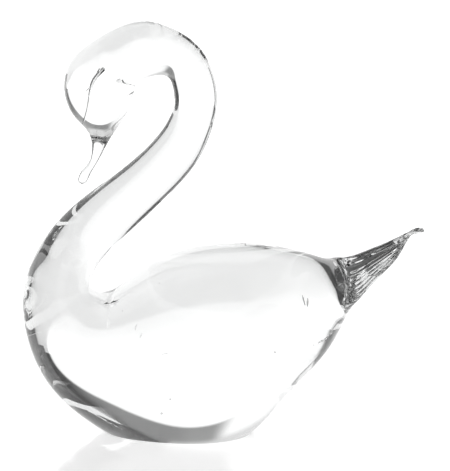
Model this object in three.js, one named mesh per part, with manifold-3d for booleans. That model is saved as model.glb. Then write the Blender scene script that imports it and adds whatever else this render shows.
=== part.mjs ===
// A swan of clear glass, drawn and pressed in one piece from a single hot gather.
// Millimetres. +Z is up and the swan looks along -X. The origin is the middle of its flat foot.

import * as THREE from "three";
import { mergeVertices } from "three/addons/utils/BufferGeometryUtils.js";
import Module from "manifold-3d";

// Driving dimensions
const height = 140; // from the foot to the top of the bowed neck
const width = 67; // across the body, the widest place
const cheekGrooveDepth = 0.9;
const cheekGrooveWidth = 2.2;
const billPinchDepth = 0.9;
const billPinchLength = 4.6;
const bodyRise = 0.06; // how far above the middle the body is widest, as a share of half of its depth
const tailRollDegrees = 50; // the pressed tail is turned towards the swan's left side
const tailThinness = 0.6; // of the tail's leaf, as a share of an oval as deep as it
const tailDish = 0.8; // how far the leaf's rims stand up, as a share of half of its depth
const tailFluteCount = 5;
const tailFluteDepth = 0.5;

// Fineness of the faceted surface
const ringsAlong = 108;
const pointsAround = 40;
const pointsAlongCrease = 40;

// The outline, from the bill's tip to the tail's. Each station is a point on the back line, the point
// across from it on the front line, both as x and z in thousandths of the height, and half of the width
// there in thousandths of the width.
const billStations = [
  [-237, 607, -237, 607, 0],
  [-244, 612, -229, 610, 11],
  [-245, 622, -222, 619, 17],
  [-237, 639, -215, 634, 19],
  [-221, 657, -204, 652, 19],
  [-212, 686, -186, 684, 42],
  [-215, 720, -167, 718, 86],
];
const headStations = [
  [-231, 747, -146, 748, 122],
  [-259, 779, -122, 786, 165],
  [-275, 819, -110, 825, 204],
  [-277, 859, -106, 849, 220],
  [-258, 907, -93, 858, 216],
];
const neckStations = [
  [-211, 949, -76, 865, 190],
  [-150, 984, -58, 869, 166],
  [-82, 1000, -42, 870, 149],
  [-12, 980, -28, 865, 125],
  [45, 940, -19, 850, 118],
  [82, 875, -14, 825, 117],
  [92, 808, -15, 795, 115],
  [76, 736, -30, 758, 117],
  [39, 658, -59, 718, 123],
  [-34, 575, -125, 655, 131],
  [-116, 497, -218, 586, 144],
  [-176, 440, -296, 516, 150],
  [-207, 398, -350, 439, 163],
];
const bodyStations = [
  [-214, 365, -377, 365, 205],
  [-202, 342, -381, 285, 262],
  [-179, 341, -358, 188, 335],
  [-140, 364, -297, 89, 410],
  [-77, 407, -182, -1, 474],
  [12, 445, -48, -62, 500],
  [109, 460, 77, -64, 494],
  [198, 459, 181, 4, 446],
  [271, 446, 263, 96, 381],
  [327, 431, 333, 171, 313],
];
const tailStations = [
  [368, 419, 382, 237, 227],
  [407, 421, 418, 307, 149],
  [453, 439, 456, 362, 113],
  [501, 461, 497, 400, 94],
  [537, 481, 527, 428, 67],
  [559, 494, 538, 452, 43],
  [574, 500, 556, 479, 25],
  [587, 499, 580, 485, 17],
  [592, 492, 592, 492, 0],
];

// The crease that the jacks left on each cheek, from behind the brow down to the bill's root,
// and the middle of the pinch that parts the bill from the head, in thousandths of the height.
const cheekLine = [
  [-179, 891],
  [-203, 862],
  [-213, 822],
  [-221, 785],
  [-231, 757],
];
const billPinchPlace = [-196, 724];

const stations = [...billStations, ...headStations, ...neckStations, ...bodyStations, ...tailStations];
const lastStation = stations.length - 1;
const tailStart = lastStation - tailStations.length;
const bodyStart = tailStart - bodyStations.length + 1;
const bodyRisen = bodyStart + 5; // from this station on, the body is widest above its middle
const tailFormed = tailStart + 3; // from this station on, the tail is all leaf
const flutesFade = lastStation - 4; // and from this one on, its flutes run out
const share = height / 1000;

function lineThrough(points) {
  return new THREE.CatmullRomCurve3(points, false, "centripetal");
}

// A point on the back line carries the half width as its y.
const backLine = lineThrough(
  stations.map(([x, z, , , half]) => new THREE.Vector3(x * share, (half * width) / 1000, z * share)),
);
const frontLine = lineThrough(stations.map(([, , x, z]) => new THREE.Vector3(x * share, 0, z * share)));
const cheekCrease = lineThrough(cheekLine.map(([x, z]) => new THREE.Vector3(x * share, 0, z * share)));
const cheekCreasePoints = cheekCrease.getPoints(pointsAlongCrease);
const billPinchMiddle = new THREE.Vector3(billPinchPlace[0] * share, 0, billPinchPlace[1] * share);

// How much of the section at a place along the swan is the pressed leaf of the tail.
function leafShare(along) {
  return THREE.MathUtils.smoothstep(along * lastStation, tailStart, tailFormed);
}

// A section before it is placed: how far to the side and how far up each of its points lies.
// The body's sections are ovals. The tail's are a thin dished leaf with flutes, rolled to one side.
function sectionPoints(along, halfHeight, halfWidth, angles) {
  const leaf = leafShare(along);
  const roll = leaf * THREE.MathUtils.degToRad(tailRollDegrees);
  const thickness = THREE.MathUtils.lerp(1, tailThinness, leaf) * halfHeight;
  const risen = THREE.MathUtils.smoothstep(along * lastStation, bodyStart, bodyRisen);
  const dish = THREE.MathUtils.lerp(risen * bodyRise, tailDish, leaf) * halfHeight;
  const fading = THREE.MathUtils.smoothstep(along * lastStation, flutesFade, lastStation);
  const fluteDepth = leaf * (1 - fading) * tailFluteDepth;
  const points = angles.map((angle) => {
    const side = Math.sin(angle) * halfWidth;
    const onTop = Math.max(0, Math.cos(angle));
    const flute = onTop * fluteDepth * Math.cos(Math.sin(angle) * Math.PI * tailFluteCount);
    const up = Math.cos(angle) * thickness + dish * Math.sin(angle) ** 2 + flute;
    return {
      side: side * Math.cos(roll) - up * Math.sin(roll),
      up: side * Math.sin(roll) + up * Math.cos(roll),
    };
  });
  const top = Math.max(...points.map((point) => point.up));
  const bottom = Math.min(...points.map((point) => point.up));
  const reach = Math.max(top - bottom, 1e-6);
  return points.map(({ side, up }) => ({ side, up: (2 * (up - bottom)) / reach - 1 }));
}

function distanceToCrease(place) {
  return Math.min(...cheekCreasePoints.map((point) => Math.hypot(point.x - place.x, point.z - place.z)));
}

function dent(distance, reach) {
  return Math.exp(-((distance / reach) ** 2));
}

// The crease and the pinch are pressed into both cheeks, square to the middle plane.
function pressCheeks(place, sideShare) {
  const crease = cheekGrooveDepth * dent(distanceToCrease(place), cheekGrooveWidth / 2);
  const away = Math.hypot(place.x - billPinchMiddle.x, place.z - billPinchMiddle.z);
  const pinch = billPinchDepth * dent(away, billPinchLength / 2);
  const depth = (crease + pinch) * Math.abs(sideShare);
  place.y -= Math.sign(place.y) * Math.min(depth, Math.abs(place.y) / 2);
}

// A sphere's grid, its poles drawn out to the tips of the bill and the tail, ring by ring.
function drawnSwan() {
  const geometry = new THREE.SphereGeometry(1, pointsAround, ringsAlong);
  const position = geometry.attributes.position;
  const angles = Array.from({ length: pointsAround }, (_, step) => (2 * Math.PI * step) / pointsAround);
  for (let ring = 0; ring <= ringsAlong; ring += 1) {
    const along = ring / ringsAlong;
    const back = backLine.getPoint(along);
    const front = frontLine.getPoint(along);
    const halfWidth = Math.max(back.y, 0);
    back.y = 0;
    const middle = back.clone().add(front).multiplyScalar(0.5);
    const halfChord = back.clone().sub(front).multiplyScalar(0.5);
    const section = sectionPoints(along, halfChord.length(), halfWidth, angles);
    for (let step = 0; step <= pointsAround; step += 1) {
      const { side, up } = section[step % pointsAround];
      const place = middle.clone().addScaledVector(halfChord, up);
      place.y = side;
      pressCheeks(place, Math.sin(angles[step % pointsAround]));
      position.setXYZ(ring * (pointsAround + 1) + step, place.x, place.y, place.z);
    }
  }
  return geometry;
}

const wasm = await Module();
wasm.setup();

function solidFrom(geometry) {
  geometry.deleteAttribute("normal");
  geometry.deleteAttribute("uv");
  const merged = mergeVertices(geometry, 1e-4);
  return new wasm.Manifold(
    new wasm.Mesh({
      numProp: 3,
      vertProperties: new Float32Array(merged.attributes.position.array),
      triVerts: new Uint32Array(merged.index.array),
    }),
  );
}

function geometryFrom(solid) {
  const mesh = solid.getMesh();
  const geometry = new THREE.BufferGeometry();
  geometry.setAttribute("position", new THREE.BufferAttribute(mesh.vertProperties, mesh.numProp));
  geometry.setIndex(new THREE.BufferAttribute(mesh.triVerts, 1));
  geometry.computeVertexNormals();
  return geometry;
}

// Everything below the foot's plane is ground away.
function groundFlat(solid) {
  const block = new THREE.BoxGeometry(2 * height, 2 * width, height);
  block.translate(0, 0, -height / 2);
  return solid.subtract(solidFrom(block));
}

const glass = new THREE.MeshStandardMaterial({
  color: 0xf3f7f8,
  roughness: 0.03,
  metalness: 0,
  transparent: true,
  opacity: 0.35,
});

const swan = new THREE.Mesh(geometryFrom(groundFlat(solidFrom(drawnSwan()))), glass);
swan.name = "swan";

const figurine = new THREE.Group();
figurine.add(swan);

export default figurine;
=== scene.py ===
"""A swan of clear glass on a glossy white floor.

The swan is drawn out of a sphere's grid, ring by ring, from the bill's tip to the tail's, pressed at the
cheeks, the bill's root and the tail, and ground flat below. Lengths are in metres.
"""

import math

import bmesh
import bpy
import numpy as np
from mathutils import Matrix, Vector


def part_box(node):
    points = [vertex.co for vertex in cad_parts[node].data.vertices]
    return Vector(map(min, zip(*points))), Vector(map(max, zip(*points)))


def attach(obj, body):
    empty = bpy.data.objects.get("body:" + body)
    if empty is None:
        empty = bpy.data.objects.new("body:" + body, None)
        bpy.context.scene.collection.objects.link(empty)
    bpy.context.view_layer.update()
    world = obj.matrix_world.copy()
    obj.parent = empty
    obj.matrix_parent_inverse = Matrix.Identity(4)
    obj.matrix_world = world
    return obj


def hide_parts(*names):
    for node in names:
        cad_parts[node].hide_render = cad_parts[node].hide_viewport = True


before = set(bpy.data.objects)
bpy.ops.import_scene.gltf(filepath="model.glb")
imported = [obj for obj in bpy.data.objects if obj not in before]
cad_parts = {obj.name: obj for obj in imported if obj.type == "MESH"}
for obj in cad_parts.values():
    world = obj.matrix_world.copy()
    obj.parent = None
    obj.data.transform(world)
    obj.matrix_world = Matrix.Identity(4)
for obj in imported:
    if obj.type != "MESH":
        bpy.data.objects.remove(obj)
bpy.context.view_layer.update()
SWAN_LOW, SWAN_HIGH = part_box("swan")

bl_info = {
    "name": "Glass Swan",
    "version": (1, 0, 0),
    "blender": (4, 5, 0),
    "location": "3D Viewport > Sidebar > Glass Swan",
    "description": "Builds a solid glass swan, the bubbles sealed in it, and its stage",
    "category": "Add Mesh",
}

THOUSANDTHS = 1000.0

# The outline, from the bill's tip to the tail's. Each station is a point on the back line, the point
# across from it on the front line, both as x and z in thousandths of the height, and half of the width
# there in thousandths of the width.
BILL_STATIONS = [
    (-237, 607, -237, 607, 0),
    (-244, 612, -229, 610, 8),
    (-245, 622, -222, 619, 11),
    (-237, 639, -215, 634, 13),
    (-221, 657, -204, 652, 12),
    (-212, 686, -186, 684, 18),
    (-215, 720, -167, 718, 58),
]
HEAD_STATIONS = [
    (-231, 747, -146, 748, 146),
    (-259, 779, -122, 786, 186),
    (-275, 819, -110, 825, 203),
    (-277, 859, -106, 849, 208),
    (-258, 907, -93, 858, 208),
]
NECK_STATIONS = [
    (-211, 949, -76, 865, 192),
    (-150, 984, -58, 869, 172),
    (-82, 1000, -42, 870, 152),
    (-12, 980, -28, 865, 124),
    (45, 940, -19, 850, 104),
    (82, 875, -14, 825, 98),
    (92, 808, -15, 795, 96),
    (76, 736, -30, 758, 97),
    (39, 658, -59, 718, 103),
    (-34, 575, -125, 655, 107),
    (-116, 497, -218, 586, 122),
    (-176, 440, -296, 516, 150),
    (-207, 398, -350, 439, 192),
]
BODY_STATIONS = [
    (-214, 365, -377, 365, 236),
    (-202, 342, -381, 285, 272),
    (-179, 341, -358, 188, 312),
    (-140, 364, -297, 89, 362),
    (-77, 407, -182, -1, 430),
    (12, 445, -48, -62, 490),
    (109, 460, 77, -64, 500),
    (198, 459, 181, 4, 450),
    (271, 446, 263, 96, 402),
    (327, 431, 333, 171, 345),
]
TAIL_STATIONS = [
    (368, 419, 382, 237, 262),
    (407, 421, 418, 307, 205),
    (453, 439, 456, 362, 168),
    (501, 461, 497, 400, 118),
    (537, 481, 527, 428, 76),
    (559, 494, 538, 452, 48),
    (574, 500, 556, 479, 30),
    (587, 499, 580, 485, 16),
    (592, 492, 592, 492, 0),
]
STATIONS = np.array(
    BILL_STATIONS + HEAD_STATIONS + NECK_STATIONS + BODY_STATIONS + TAIL_STATIONS, dtype=float
)

# The stations between which one form passes into the next
LAST_STATION = len(STATIONS) - 1
NECK_START = len(BILL_STATIONS) + len(HEAD_STATIONS)
BREAST_START = NECK_START + 9
BREAST_FULL = NECK_START + 12
BODY_START = NECK_START + len(NECK_STATIONS)
BREAST_FADE = BODY_START
BREAST_END = BODY_START + 3
BODY_RISEN = BODY_START + 5
TAIL_START = LAST_STATION - len(TAIL_STATIONS)
TAIL_FORMED = TAIL_START + 3
FLUTES_START = TAIL_START + 1
FLUTES_FORMED = TAIL_FORMED + 1
FLUTES_FADE = LAST_STATION - 4

# Points round a section that find its highest and lowest place
SECTION_POINTS = 181
TINY = 1e-9

# Creases that the jacks left, each a line in thousandths of the height, its weight, and how much of it is
# left at its end
CREASES = {
    "cheek": ([(-179, 891), (-203, 862), (-213, 822), (-221, 785), (-231, 757)], 1.0, 0.3),
    "cheek beside": ([(-187, 890), (-197, 868), (-206, 845)], 0.7, 0.2),
    "cheek branch": ([(-211, 848), (-233, 822)], 0.4, 0.2),
    "throat": ([(-104, 836), (-122, 826), (-136, 815)], 0.5, 0.2),
    "crotch down": ([(-164, 356), (-168, 325), (-167, 285)], 2.0, 0.3),
    "crotch forwards": ([(-164, 330), (-182, 328), (-204, 334)], 1.2, 0.3),
    "crotch backwards": ([(-164, 330), (-150, 338), (-118, 360)], 1.2, 0.3),
    "rear flank": ([(363, 258), (298, 231), (218, 200)], 0.3, 0.3),
    "neck": ([(78, 751), (64, 748)], 0.3, 0.3),
}
CREASE_POINTS = 25
CREASE_NARROWS = (0.1, 0.7)  # a crease narrows between these shares of its length
CREASE_SHALLOWS = 1.5  # its depth goes by this power of its size
FAR_CREASE = 0.3  # share of its depth that is pressed on the swan's right side
FINE_ROUNDS = (1.0, 0.7, 0.5)  # the grid is halved once for each of these shares of the fine reach
BILL_PINCH_PLACE = (-196, 724)

# Seed bubbles as x and z in thousandths of the height and their size, and drawn-out bubbles as x, z and
# length in the same thousandths and their turn in degrees
SEED_BUBBLES = [
    (-31, 336, 1.0),
    (-12, 119, 1.0),
    (-31, 89, 1.2),
    (206, 224, 1.0),
    (-114, 272, 0.8),
    (402, 314, 1.3),
]
DRAWN_BUBBLES = [
    (284, 318, 16, -12),
    (291, 316, 14, 14),
    (-84, 249, 12, 28),
    (-74, 235, 12, 30),
    (-22, 205, 16, 80),
]
BUBBLE_MERIDIANS = 16
BUBBLE_RINGS = 12

FOOT_CUT_REACH = 1e-7
FOOT_EDGE_SEGMENTS = 3

# The floor and the cards. The cards are painted shade that only the glass sees: a grey one lying on the
# floor in front, and dark ones at the sides, behind the tail and lying beside the swan. A standing card
# has its sides, its middle, and its turn in degrees about an axis. The one that lies beside the swan has
# its sides, a corner, and its turn in degrees about that.
FLOOR_DROP = 0.00005
FLOOR_ROUGHNESS = 0.03
CARD_ROUGHNESS = 0.6
CARD_LIFT = 0.0001
STANDING_SHADE_CARDS = {
    "painted_shade_right_card": (0.3, 0.7, (0.25, -0.07, 0.15), 90, "Y"),
    "painted_shade_left_card": (0.17, 0.5, (-0.25, -0.07, 0.085), 90, "Y"),
    "painted_shade_tail_card": (0.040, 0.054, (0.060, 0.030, 0.030), 90, "X"),
}
BESIDE_SHADE_CARD = (0.2, 0.12, (0.035, 0.0, 0.0002), -43)

# The studio light in degrees of azimuth, from straight behind the swan, and of elevation. In a pair, the
# change goes from the first to the second.
WALL_AZIMUTH = 41.0
WALL_ELEVATION = 24.0
WALL_EDGE = (0.95, 1.08)
WALL_LEVEL = 1.12
FLAG_LEFT_EDGE = (-25.0, -8.0)
FLAG_RIGHT_EDGE = (80.0, 95.0)
FLAG_TOP_EDGE = (36.0, 48.0)
FLAG_TOP_RISES = (10.0, 30.0)
FLAG_TOP_RISE = 16.0
FLAG_DARKENS = (24.0, 44.0)
FLAG_LEVELS = (0.26, 0.01)
LOW_SIDE_EDGE = (48.0, 60.0)
LOW_SIDE_TOP_EDGE = (8.0, 20.0)
FRONT_EDGE = (80.0, 95.0)
FRONT_LEVEL = 0.05
CAMERA_SIDE_EDGE = (150.0, 170.0)
CAMERA_SIDE_LEVEL = 0.7
CEILING_EDGE = (30.0, 45.0)
CEILING_LEVEL = 0.6
OVERHEAD_EDGE = (52.0, 66.0)
OVERHEAD_SHARE = 0.3

CAMERA_AIM = Vector((0.01524, 0.0, 0.0674))
SENSOR_WIDTH = 36.0  # millimetres, as the lens is
FARTHEST_SEEN = 100.0

# How often light may pass or bounce in the glass, and how far its bright specks are held back
MOST_BOUNCES = 24
MOST_PASSES = 20
MOST_REFLECTIONS = 8
MOST_CLEAR_PASSES = 16
BRIGHTEST_SPECK = 6.0
SPECK_BLUR = 0.2


class Form(bpy.types.PropertyGroup):
    height: bpy.props.FloatProperty(
        name="Height",
        description="From the foot to the top of the bowed neck",
        default=SWAN_HIGH[2] - SWAN_LOW[2],
        min=0.01,
        unit="LENGTH",
    )
    width: bpy.props.FloatProperty(
        name="Width",
        description="Across the body at its widest place",
        default=SWAN_HIGH[1] - SWAN_LOW[1],
        min=0.01,
        unit="LENGTH",
    )
    rings_along: bpy.props.IntProperty(
        name="Rings",
        description="Rings of the grid from the bill's tip to the tail's",
        default=440,
        min=100,
    )
    points_around: bpy.props.IntProperty(
        name="Points around",
        description="Points on each ring",
        default=128,
        min=24,
    )
    crease_depth: bpy.props.FloatProperty(
        name="Crease depth",
        description="How deep a crease of weight 1 is pressed into the swan's left side",
        default=0.0026,
        unit="LENGTH",
    )
    crease_width: bpy.props.FloatProperty(
        name="Crease width",
        description="Width of a crease of weight 1 at its start, where it is widest",
        default=0.0014,
        unit="LENGTH",
    )
    fine_reach: bpy.props.FloatProperty(
        name="Fine reach",
        description="How far from a crease of weight 1 the grid is made finer",
        default=0.002,
        unit="LENGTH",
    )
    pinch_depth: bpy.props.FloatProperty(
        name="Bill pinch depth",
        description="How deep the bill's root is pinched on each side",
        default=0.0009,
        unit="LENGTH",
    )
    pinch_length: bpy.props.FloatProperty(
        name="Bill pinch length",
        description="Size of the pinch at the bill's root",
        default=0.0046,
        unit="LENGTH",
    )
    body_rise: bpy.props.FloatProperty(
        name="Body rise",
        description="How far above the middle the body is widest, as a share of half of its depth",
        default=0.12,
        subtype="FACTOR",
    )
    breast_rise: bpy.props.FloatProperty(
        name="Breast rise",
        description="How much farther back the breast is widest, as a share of half of its depth",
        default=0.12,
        subtype="FACTOR",
    )
    tail_roll: bpy.props.FloatProperty(
        name="Tail roll",
        description="How far the pressed tail is turned towards the swan's left side",
        default=math.radians(45),
        subtype="ANGLE",
    )
    tail_thinness: bpy.props.FloatProperty(
        name="Tail thinness",
        description="Thickness of the tail's leaf as a share of an oval as deep as it",
        default=0.5,
        subtype="FACTOR",
    )
    tail_dish: bpy.props.FloatProperty(
        name="Tail dish",
        description="How far the leaf's rims stand up, as a share of half of its depth",
        default=0.6,
        subtype="FACTOR",
    )
    tail_keel: bpy.props.FloatProperty(
        name="Tail keel",
        description="How far the leaf thickens towards its upper rim, as a share of half of its depth",
        default=2.0,
        subtype="FACTOR",
    )
    flute_count: bpy.props.IntProperty(
        name="Flutes",
        description="Flutes pressed along the tail",
        default=9,
        min=1,
    )
    flute_depth: bpy.props.FloatProperty(
        name="Flute depth",
        description="How deep the tail's flutes are",
        default=0.0009,
        unit="LENGTH",
    )
    foot_bevel: bpy.props.FloatProperty(
        name="Foot edge",
        description="Width of the fire-polished edge round the flat foot",
        default=0.0005,
        unit="LENGTH",
    )


class Glass(bpy.types.PropertyGroup):
    tint: bpy.props.FloatVectorProperty(
        name="Tint",
        description="Colour of the clear glass",
        subtype="COLOR",
        default=(0.985, 0.992, 0.990),
        min=0.0,
        max=1.0,
    )
    bending: bpy.props.FloatProperty(
        name="IOR",
        description="Index of refraction of the glass",
        default=1.52,
        min=1.0,
    )
    waves_per_metre: bpy.props.FloatProperty(
        name="Waves per metre",
        description="How close together the waves in the hand-worked surface are",
        default=90.0,
        min=1.0,
    )
    wave_height: bpy.props.FloatProperty(
        name="Wave height",
        description="Height of the waves in the hand-worked surface",
        default=0.0004,
        unit="LENGTH",
    )
    wave_strength: bpy.props.FloatProperty(
        name="Wave strength",
        description="How much of the waves shows",
        default=0.12,
        subtype="FACTOR",
    )


class Bubbles(bpy.types.PropertyGroup):
    seed_radius: bpy.props.FloatProperty(
        name="Seed radius",
        description="Radius of a round seed bubble",
        default=0.00025,
        unit="LENGTH",
    )
    drawn_radius: bpy.props.FloatProperty(
        name="Drawn radius",
        description="Radius of a drawn-out bubble across its length",
        default=0.0002,
        unit="LENGTH",
    )
    depth: bpy.props.FloatProperty(
        name="Depth",
        description="How far the bubbles lie from the middle plane towards the swan's left side",
        default=0.006,
        unit="LENGTH",
    )


class Stage(bpy.types.PropertyGroup):
    floor_color: bpy.props.FloatVectorProperty(
        name="Floor",
        description="Colour of the glossy floor",
        subtype="COLOR",
        default=(0.93, 0.93, 0.93),
        min=0.0,
        max=1.0,
    )
    floor_glow: bpy.props.FloatProperty(
        name="Floor glow",
        description="Light that comes up through the floor",
        default=0.62,
        min=0.0,
    )
    floor_size: bpy.props.FloatProperty(
        name="Floor size",
        description="Side of the floor",
        default=30.0,
        unit="LENGTH",
    )
    # The grey card and the dark cards are painted shade: they are seen only through the glass, where they
    # darken bands.
    card_size: bpy.props.FloatProperty(
        name="Card size",
        description="Side of the grey card on the floor in front",
        default=0.3,
        unit="LENGTH",
    )
    card_gap: bpy.props.FloatProperty(
        name="Card gap",
        description="From the middle of the swan to the near edge of the grey card",
        default=0.034,
        unit="LENGTH",
    )
    painted_shade_grey_level: bpy.props.FloatProperty(
        name="Grey card",
        description="How light the grey card is",
        default=0.28,
        subtype="FACTOR",
    )
    painted_shade_dark_level: bpy.props.FloatProperty(
        name="Dark cards",
        description="How light the dark cards are",
        default=0.1,
        subtype="FACTOR",
    )
    camera_elevation: bpy.props.FloatProperty(
        name="Camera elevation",
        description="How far above the swan the camera looks from",
        default=math.radians(8),
        subtype="ANGLE",
    )
    camera_distance: bpy.props.FloatProperty(
        name="Camera distance",
        description="From the camera to the swan",
        default=0.85,
        unit="LENGTH",
    )
    camera_lens: bpy.props.FloatProperty(
        name="Camera lens",
        description="Focal length in millimetres",
        default=191.6,
        min=10.0,
    )


class Wire:
    """A socket in a node tree. Sums and products of wires add Math nodes."""

    def __init__(self, tree, socket=None):
        self.tree = tree
        self.socket = socket

    def node(self, kind, settings=None, sockets=None, output=0):
        """Adds a node, sets its settings and then its sockets, and gives the wire of one output."""
        made = self.tree.nodes.new(kind)
        for name, value in (settings or {}).items():
            setattr(made, name, value)
        for name, value in (sockets or {}).items():
            if isinstance(value, Wire):
                self.tree.links.new(value.socket, made.inputs[name])
            else:
                made.inputs[name].default_value = value
        return Wire(self.tree, made.outputs[output] if made.outputs else None)

    def math(self, operation, *values):
        return self.node("ShaderNodeMath", {"operation": operation}, dict(enumerate(values)))

    def __add__(self, other):
        return self.math("ADD", self, other)

    def __radd__(self, other):
        return self.math("ADD", other, self)

    def __sub__(self, other):
        return self.math("SUBTRACT", self, other)

    def __rsub__(self, other):
        return self.math("SUBTRACT", other, self)

    def __mul__(self, other):
        return self.math("MULTIPLY", self, other)

    def __rmul__(self, other):
        return self.math("MULTIPLY", other, self)

    def __truediv__(self, other):
        return self.math("DIVIDE", self, other)

    def __rtruediv__(self, other):
        return self.math("DIVIDE", other, self)

    def step(self, low, high, start=0.0, end=1.0):
        """Goes smoothly from start to end while this wire goes from low to high."""
        return self.node(
            "ShaderNodeMapRange",
            {"interpolation_type": "SMOOTHERSTEP"},
            {"Value": self, "From Min": low, "From Max": high, "To Min": start, "To Max": end},
        )


# The smooth line through the stations


def spline_through(knots, values, places):
    """Reads the natural cubic spline through the values at the given places."""
    gaps = np.diff(knots)[:, None]
    slopes = np.diff(values, axis=0) / gaps
    matrix = np.eye(len(knots))
    changes = np.zeros_like(values)
    for index in range(1, len(knots) - 1):
        before, after = gaps[index - 1, 0], gaps[index, 0]
        matrix[index, index - 1 : index + 2] = before, 2 * (before + after), after
        changes[index] = 6 * (slopes[index] - slopes[index - 1])
    bends = np.linalg.solve(matrix, changes)
    span = np.clip(np.searchsorted(knots, places, side="right") - 1, 0, len(knots) - 2)
    gap = gaps[span]
    after = (places - knots[span])[:, None]
    before = gap - after
    return (
        (bends[span] * before**3 + bends[span + 1] * after**3) / (6 * gap)
        + (values[span] / gap - bends[span] * gap / 6) * before
        + (values[span + 1] / gap - bends[span + 1] * gap / 6) * after
    )


def station_knots():
    """Places the stations by the square root of their spacing, so that the spline doesn't overshoot."""
    steps = np.diff(STATIONS[:, :4], axis=0)
    spacing = (np.hypot(steps[:, 0], steps[:, 1]) + np.hypot(steps[:, 2], steps[:, 3])) / 2
    return np.concatenate([[0.0], np.cumsum(np.sqrt(spacing))])


def smooth_step(values, low, high):
    share = np.clip((values - low) / (high - low), 0.0, 1.0)
    return share**3 * (share * (share * 6 - 15) + 10)


def notch(distance, reach):
    return np.maximum(0.0, 1 - distance / reach)


def dent(distance, reach):
    return np.exp(-((distance / reach) ** 2))


# The glass swan


def section_points(form, leaf, rise, fading, half_height, half_width, angle):
    """How far to the side, and how far up, a point of a section lies before the section is placed."""
    across, upwards = np.sin(angle), np.cos(angle)
    roll = leaf * form.tail_roll
    thickness = (1 + leaf * (form.tail_thinness - 1)) * half_height
    flute = np.maximum(0, upwards) * leaf * (1 - fading) * form.flute_depth
    side = across * half_width
    up = (
        upwards * thickness
        + (leaf * form.tail_dish + rise) * half_height * across**2
        + flute * np.cos(across * math.pi * form.flute_count)
        + np.minimum(0, upwards) * leaf * form.tail_keel * half_height * (1 + across) / 2
    )
    return side * np.cos(roll) - up * np.sin(roll), side * np.sin(roll) + up * np.cos(roll)


def drawn_places(form, along, angle):
    """Places points of the grid: along runs from 0 at the bill's tip to 1 at the tail's."""
    knots = station_knots()
    place = along * knots[-1]
    scale = np.array([form.height] * 4 + [form.width]) / THOUSANDTHS
    lines = spline_through(knots, STATIONS * scale, place)
    back, front, half_width = lines[:, 0:2], lines[:, 2:4], np.maximum(lines[:, 4], 0.0)
    middle, half_chord = (back + front) / 2, (back - front) / 2
    half_height = np.hypot(half_chord[:, 0], half_chord[:, 1])

    def from_to(start, end):
        return smooth_step(place, knots[start], knots[end])

    leaf = from_to(TAIL_START, TAIL_FORMED)
    fading = np.maximum(from_to(FLUTES_FADE, LAST_STATION), 1 - from_to(FLUTES_START, FLUTES_FORMED))
    breast = from_to(BREAST_START, BREAST_FULL) * (1 - from_to(BREAST_FADE, BREAST_END))
    body = from_to(BODY_START, BODY_RISEN)
    rise = form.body_rise * body * (1 - leaf) + form.breast_rise * breast
    side, up = section_points(form, leaf, rise, fading, half_height, half_width, angle)
    rounds = np.linspace(0, 2 * math.pi, SECTION_POINTS)[:, None]
    _, reach = section_points(form, leaf, rise, fading, half_height, half_width, rounds)
    top, bottom = reach.max(axis=0), reach.min(axis=0)
    share = 2 * (up - bottom) / np.maximum(top - bottom, TINY) - 1
    placed = middle + half_chord * share[:, None]
    return np.stack([placed[:, 0], side, placed[:, 1]], axis=1)


def distance_to_line(places, points):
    """Distance in the middle plane to a line through points, and how far along it the nearest place is."""
    nearest = np.full(len(places), np.inf)
    along = np.zeros(len(places))
    flat = places[:, [0, 2]]
    for index, (start, end) in enumerate(zip(points[:-1], points[1:])):
        way = end - start
        share = np.clip((flat - start) @ way / (way @ way), 0.0, 1.0)
        distance = np.linalg.norm(flat - start - share[:, None] * way, axis=1)
        closer = distance < nearest
        nearest[closer] = distance[closer]
        along[closer] = (index + share[closer]) / (len(points) - 1)
    return nearest, along


def crease_line(form, points):
    line = np.array(points, dtype=float) * form.height / THOUSANDTHS
    knots = np.linspace(0, 1, len(line))
    return spline_through(knots, line, np.linspace(0, 1, CREASE_POINTS))


def press_creases(form, places, angle):
    """Presses the creases and the bill's pinch into both sides, square to the middle plane."""
    crease = np.zeros(len(places))
    for points, weight, left in CREASES.values():
        away, down = distance_to_line(places, crease_line(form, points))
        size = weight * (1 - (1 - left) * smooth_step(down, *CREASE_NARROWS))
        press = form.crease_depth * size**CREASE_SHALLOWS * notch(away, form.crease_width * size / 2)
        crease = np.maximum(crease, press)
    crease *= np.where(places[:, 1] < 0, 1.0, FAR_CREASE)
    middle = np.array(BILL_PINCH_PLACE) * form.height / THOUSANDTHS
    away = np.linalg.norm(places[:, [0, 2]] - middle, axis=1)
    pinch = form.pinch_depth * dent(away, form.pinch_length / 2)
    depth = crease + pinch * np.abs(np.sin(angle))
    places[:, 1] -= np.sign(places[:, 1]) * np.minimum(depth, np.abs(places[:, 1]) / 2)


def grid_shares(bm):
    """Reads each point's share of the way from pole to pole and its angle round the axis."""
    points = np.array([vertex.co for vertex in bm.verts])
    points /= np.linalg.norm(points, axis=1)[:, None]
    along = np.arccos(np.clip(points[:, 2], -1, 1)) / math.pi
    return along, np.arctan2(points[:, 1], points[:, 0])


def refine_creases(bm, form):
    """Halves the grid's faces again and again, ever closer to the creases that will be pressed."""
    for share in FINE_ROUNDS:
        along, angle = grid_shares(bm)
        places = drawn_places(form, along, angle)
        near = np.full(len(places), np.inf)
        for points, weight, _ in CREASES.values():
            away, _ = distance_to_line(places, crease_line(form, points))
            near = np.minimum(near, away / weight)
        reach = form.fine_reach * share
        inside = {vertex for vertex, distance in zip(bm.verts, near) if distance < reach}
        edges = [edge for edge in bm.edges if all(vertex in inside for vertex in edge.verts)]
        bmesh.ops.subdivide_edges(bm, edges=edges, cuts=1, use_grid_fill=True)


def drawn_swan(form):
    bm = bmesh.new()
    bmesh.ops.create_uvsphere(
        bm, u_segments=form.points_around, v_segments=form.rings_along, radius=1.0
    )
    refine_creases(bm, form)
    along, angle = grid_shares(bm)
    places = drawn_places(form, along, angle)
    press_creases(form, places, angle)
    for vertex, place in zip(bm.verts, places):
        vertex.co = place
    return bm


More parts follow.
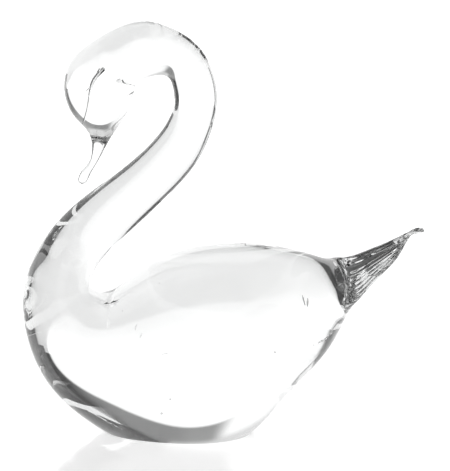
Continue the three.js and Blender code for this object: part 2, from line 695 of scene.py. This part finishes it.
def grind_foot(bm, bevel):
    """Cuts the underside flat at the floor, closes it and rounds its edge a little."""
    cut = bmesh.ops.bisect_plane(
        bm,
        geom=[*bm.verts, *bm.edges, *bm.faces],
        dist=FOOT_CUT_REACH,
        plane_co=(0, 0, 0),
        plane_no=(0, 0, -1),
        clear_outer=True,
    )
    rim = [item for item in cut["geom_cut"] if isinstance(item, bmesh.types.BMEdge)]
    bmesh.ops.contextual_create(bm, geom=rim)
    bmesh.ops.bevel(
        bm,
        geom=rim,
        offset=bevel,
        offset_type="OFFSET",
        segments=FOOT_EDGE_SEGMENTS,
        profile=0.5,
        affect="EDGES",
        material=-1,
        clamp_overlap=True,
    )
    bmesh.ops.recalc_face_normals(bm, faces=bm.faces)


def linked_object(bm, name, material):
    mesh = bpy.data.meshes.new(name)
    bm.to_mesh(mesh)
    bm.free()
    mesh.materials.append(material)
    made = bpy.data.objects.new(name, mesh)
    bpy.context.scene.collection.objects.link(made)
    return made


def glass_piece(bm, name, material):
    piece = linked_object(bm, name, material)
    for face in piece.data.polygons:
        face.use_smooth = True
    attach(piece, "root")
    return piece


def new_material(name):
    material = bpy.data.materials.new(name)
    material.use_nodes = True
    return material, material.node_tree.nodes["Principled BSDF"]


def clear_glass(look, name="clear_glass"):
    """Clear fire-polished glass, with the slight waves that hand work leaves in its surface."""
    material, shader = new_material(name)
    shader.inputs["Base Color"].default_value = (*look.tint, 1.0)
    shader.inputs["Roughness"].default_value = 0.0
    shader.inputs["IOR"].default_value = look.bending
    shader.inputs["Transmission Weight"].default_value = 1.0
    wires = Wire(material.node_tree)
    places = wires.node("ShaderNodeTexCoord", output="Object")
    waves = wires.node(
        "ShaderNodeTexNoise",
        sockets={"Vector": places, "Scale": look.waves_per_metre, "Detail": 1.0, "Roughness": 0.4},
    )
    surface = wires.node(
        "ShaderNodeBump",
        sockets={"Strength": look.wave_strength, "Distance": look.wave_height, "Height": waves},
    )
    material.node_tree.links.new(surface.socket, shader.inputs["Normal"])
    return material


class SWAN_OT_draw_swan(bpy.types.Operator):
    """Draw the glass swan out of a sphere's grid and grind its foot flat"""

    bl_idname = "swan.draw_swan"
    bl_label = "Draw Swan"

    def execute(self, context):
        form = context.scene.swan_form
        bm = drawn_swan(form)
        grind_foot(bm, form.foot_bevel)
        piece = glass_piece(bm, "crystal_swan", clear_glass(context.scene.swan_glass))
        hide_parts("swan")
        return {"FINISHED"}


# The bubbles sealed in the glass


def bubble_air(look):
    """Air in glass: the index of refraction is turned over, because the ray comes from the glass."""
    material = clear_glass(look, "bubble_air")
    shader = material.node_tree.nodes["Principled BSDF"]
    shader.inputs["Base Color"].default_value = (1.0, 1.0, 1.0, 1.0)
    shader.inputs["IOR"].default_value = 1 / look.bending
    return material


def blown_bubble(bm, place, radius, length, turn):
    """Adds a round bubble, or one drawn out to a length and turned in the middle plane."""
    made = bmesh.ops.create_uvsphere(
        bm, u_segments=BUBBLE_MERIDIANS, v_segments=BUBBLE_RINGS, radius=radius
    )
    bmesh.ops.scale(bm, verts=made["verts"], vec=(1, 1, length / (2 * radius)))
    placing = Matrix.Translation(place) @ Matrix.Rotation(turn, 4, "Y")
    bmesh.ops.transform(bm, verts=made["verts"], matrix=placing)


class SWAN_OT_blow_bubbles(bpy.types.Operator):
    """Seal the seed bubbles and the drawn-out bubbles in the glass"""

    bl_idname = "swan.blow_bubbles"
    bl_label = "Blow Bubbles"

    def execute(self, context):
        form, seeds = context.scene.swan_form, context.scene.swan_bubbles
        share = form.height / THOUSANDTHS
        bm = bmesh.new()
        for x, z, size in SEED_BUBBLES:
            place = Vector((x * share, -seeds.depth, z * share))
            radius = seeds.seed_radius * size
            blown_bubble(bm, place, radius, 2 * radius, 0.0)
        for x, z, length, degrees in DRAWN_BUBBLES:
            place = Vector((x * share, -seeds.depth, z * share))
            blown_bubble(bm, place, seeds.drawn_radius, length * share, math.radians(degrees))
        glass_piece(bm, "sealed_bubbles", bubble_air(context.scene.swan_glass))
        return {"FINISHED"}


# The stage


def floor_material(look):
    material, shader = new_material("glossy_floor")
    shader.inputs["Base Color"].default_value = (*look.floor_color, 1.0)
    shader.inputs["Roughness"].default_value = FLOOR_ROUGHNESS
    shader.inputs["Emission Color"].default_value = (1.0, 1.0, 1.0, 1.0)
    shader.inputs["Emission Strength"].default_value = look.floor_glow
    return material


def make_floor(look):
    bm = bmesh.new()
    bmesh.ops.create_grid(bm, x_segments=1, y_segments=1, size=look.floor_size / 2)
    bmesh.ops.translate(bm, verts=bm.verts, vec=(0, 0, -FLOOR_DROP))
    linked_object(bm, "floor", floor_material(look))


def card_material(name, level):
    material, shader = new_material(name)
    shader.inputs["Base Color"].default_value = (level, level, level, 1.0)
    shader.inputs["Roughness"].default_value = CARD_ROUGHNESS
    return material


def turned_place(place, degrees, axis):
    return Matrix.Translation(place) @ Matrix.Rotation(math.radians(degrees), 4, axis)


def make_card(name, wide, long, placing, material):
    """A card that only the glass sees: a sheet of painted shade in what shows through the glass."""
    bm = bmesh.new()
    bmesh.ops.create_grid(bm, x_segments=1, y_segments=1, size=0.5)
    bmesh.ops.scale(bm, verts=bm.verts, vec=(wide, long, 1))
    bmesh.ops.transform(bm, verts=bm.verts, matrix=placing)
    card = linked_object(bm, name, material)
    card.visible_camera = False
    card.visible_diffuse = False
    card.visible_glossy = False
    card.visible_shadow = False


def make_shade_cards(look):
    # Painted shade: these cards are seen only through the glass, where they darken bands along its edges
    # and in its tail.
    grey = card_material("painted_shade_grey_card", look.painted_shade_grey_level)
    front = Matrix.Translation((0, -look.card_size / 2 - look.card_gap, CARD_LIFT))
    make_card("painted_shade_front_card", look.card_size, look.card_size, front, grey)
    dark = card_material("painted_shade_dark_card", look.painted_shade_dark_level)
    for name, (wide, long, middle, degrees, axis) in STANDING_SHADE_CARDS.items():
        make_card(name, wide, long, turned_place(middle, degrees, axis), dark)
    wide, long, corner, degrees = BESIDE_SHADE_CARD
    beside = turned_place(corner, degrees, "Z") @ Matrix.Translation((wide / 2, long / 2, 0))
    make_card("painted_shade_beside_card", wide, long, beside, dark)


def make_studio_light():
    """A white room for the camera, and for the glass a bright wall behind with dark flags at the sides."""
    world = bpy.data.worlds.new("studio")
    world.use_nodes = True
    bpy.context.scene.world = world
    tree = world.node_tree
    tree.nodes.clear()
    wires = Wire(tree)
    way = wires.node("ShaderNodeTexCoord", output="Generated")
    apart = wires.node("ShaderNodeSeparateXYZ", sockets={"Vector": way})
    right, back, up = (Wire(tree, socket) for socket in apart.socket.node.outputs)
    azimuth = wires.math("ARCTAN2", right, back) * (180 / math.pi)
    elevation = wires.math("ARCSINE", up) * (180 / math.pi)

    across, above = azimuth / WALL_AZIMUTH, elevation / WALL_ELEVATION
    beyond_wall = wires.math("SQRT", across * across + above * above).step(*WALL_EDGE)
    top_rise = azimuth.step(*FLAG_TOP_RISES, 0.0, FLAG_TOP_RISE)
    under_top = (elevation - top_rise).step(*FLAG_TOP_EDGE, 1.0, 0.0)
    past_left, before_right = azimuth.step(*FLAG_LEFT_EDGE), azimuth.step(*FLAG_RIGHT_EDGE, 1.0, 0.0)
    flag = beyond_wall * past_left * under_top * before_right
    flag_level = azimuth.step(*FLAG_DARKENS, *FLAG_LEVELS)

    around = wires.math("ABSOLUTE", azimuth)
    low_side = around.step(*LOW_SIDE_EDGE) * elevation.step(*LOW_SIDE_TOP_EDGE, 1.0, 0.0)
    dark_share = wires.math("MAXIMUM", around.step(*FRONT_EDGE), low_side)
    camera_side = around.step(*CAMERA_SIDE_EDGE, FRONT_LEVEL, CAMERA_SIDE_LEVEL)
    room = wires.math("MAXIMUM", 1 - (1 - FRONT_LEVEL) * dark_share, camera_side)
    room = wires.math("MINIMUM", room, elevation.step(*CEILING_EDGE, 1.0, CEILING_LEVEL))
    room = room * elevation.step(*OVERHEAD_EDGE, 1.0, OVERHEAD_SHARE)

    level = WALL_LEVEL * room * (1 - flag) + flag * flag_level
    seen = wires.node("ShaderNodeLightPath", output="Is Camera Ray")
    level = wires.math("MAXIMUM", level, seen)
    light = wires.node("ShaderNodeBackground", sockets={"Color": (1.0, 1.0, 1.0, 1.0), "Strength": level})
    wires.node("ShaderNodeOutputWorld", sockets={"Surface": light})


def make_camera(look):
    camera = bpy.data.objects.new("camera", bpy.data.cameras.new("camera"))
    bpy.context.scene.collection.objects.link(camera)
    camera.data.lens = look.camera_lens
    camera.data.sensor_width = SENSOR_WIDTH
    camera.data.clip_end = FARTHEST_SEEN
    rise = look.camera_elevation
    away = Vector((0.0, -math.cos(rise), math.sin(rise)))
    camera.location = CAMERA_AIM + look.camera_distance * away
    camera.rotation_euler = (math.pi / 2 - rise, 0.0, 0.0)
    bpy.context.scene.camera = camera


def set_light_paths(scene):
    scene.view_settings.view_transform = "Standard"
    scene.cycles.max_bounces = MOST_BOUNCES
    scene.cycles.transmission_bounces = MOST_PASSES
    scene.cycles.glossy_bounces = MOST_REFLECTIONS
    scene.cycles.transparent_max_bounces = MOST_CLEAR_PASSES
    scene.cycles.sample_clamp_indirect = BRIGHTEST_SPECK
    scene.cycles.blur_glossy = SPECK_BLUR


class SWAN_OT_set_stage(bpy.types.Operator):
    """Set the glossy floor, the cards, the studio light and the camera"""

    bl_idname = "swan.set_stage"
    bl_label = "Set Stage"

    def execute(self, context):
        stage = context.scene.swan_stage
        make_floor(stage)
        make_shade_cards(stage)
        make_studio_light()
        make_camera(stage)
        set_light_paths(context.scene)
        return {"FINISHED"}


class SWAN_PT_panel(bpy.types.Panel):
    bl_label = "Glass Swan"
    bl_idname = "SWAN_PT_panel"
    bl_space_type = "VIEW_3D"
    bl_region_type = "UI"
    bl_category = "Glass Swan"

    def draw(self, context):
        scene = context.scene
        for group in (scene.swan_form, scene.swan_glass, scene.swan_bubbles, scene.swan_stage):
            box = self.layout.box()
            for name in group.__annotations__:
                box.prop(group, name)
        for maker in MAKERS:
            self.layout.operator(maker.bl_idname)


MAKERS = (SWAN_OT_draw_swan, SWAN_OT_blow_bubbles, SWAN_OT_set_stage)
CLASSES = (Form, Glass, Bubbles, Stage, *MAKERS, SWAN_PT_panel)


def register():
    for item in CLASSES:
        bpy.utils.register_class(item)
    bpy.types.Scene.swan_form = bpy.props.PointerProperty(type=Form)
    bpy.types.Scene.swan_glass = bpy.props.PointerProperty(type=Glass)
    bpy.types.Scene.swan_bubbles = bpy.props.PointerProperty(type=Bubbles)
    bpy.types.Scene.swan_stage = bpy.props.PointerProperty(type=Stage)


def unregister():
    del bpy.types.Scene.swan_stage
    del bpy.types.Scene.swan_bubbles
    del bpy.types.Scene.swan_glass
    del bpy.types.Scene.swan_form
    for item in reversed(CLASSES):
        bpy.utils.unregister_class(item)


def main():
    register()
    bpy.ops.swan.draw_swan()
    bpy.ops.swan.blow_bubbles()
    bpy.ops.swan.set_stage()


if __name__ == "__main__":
    main()
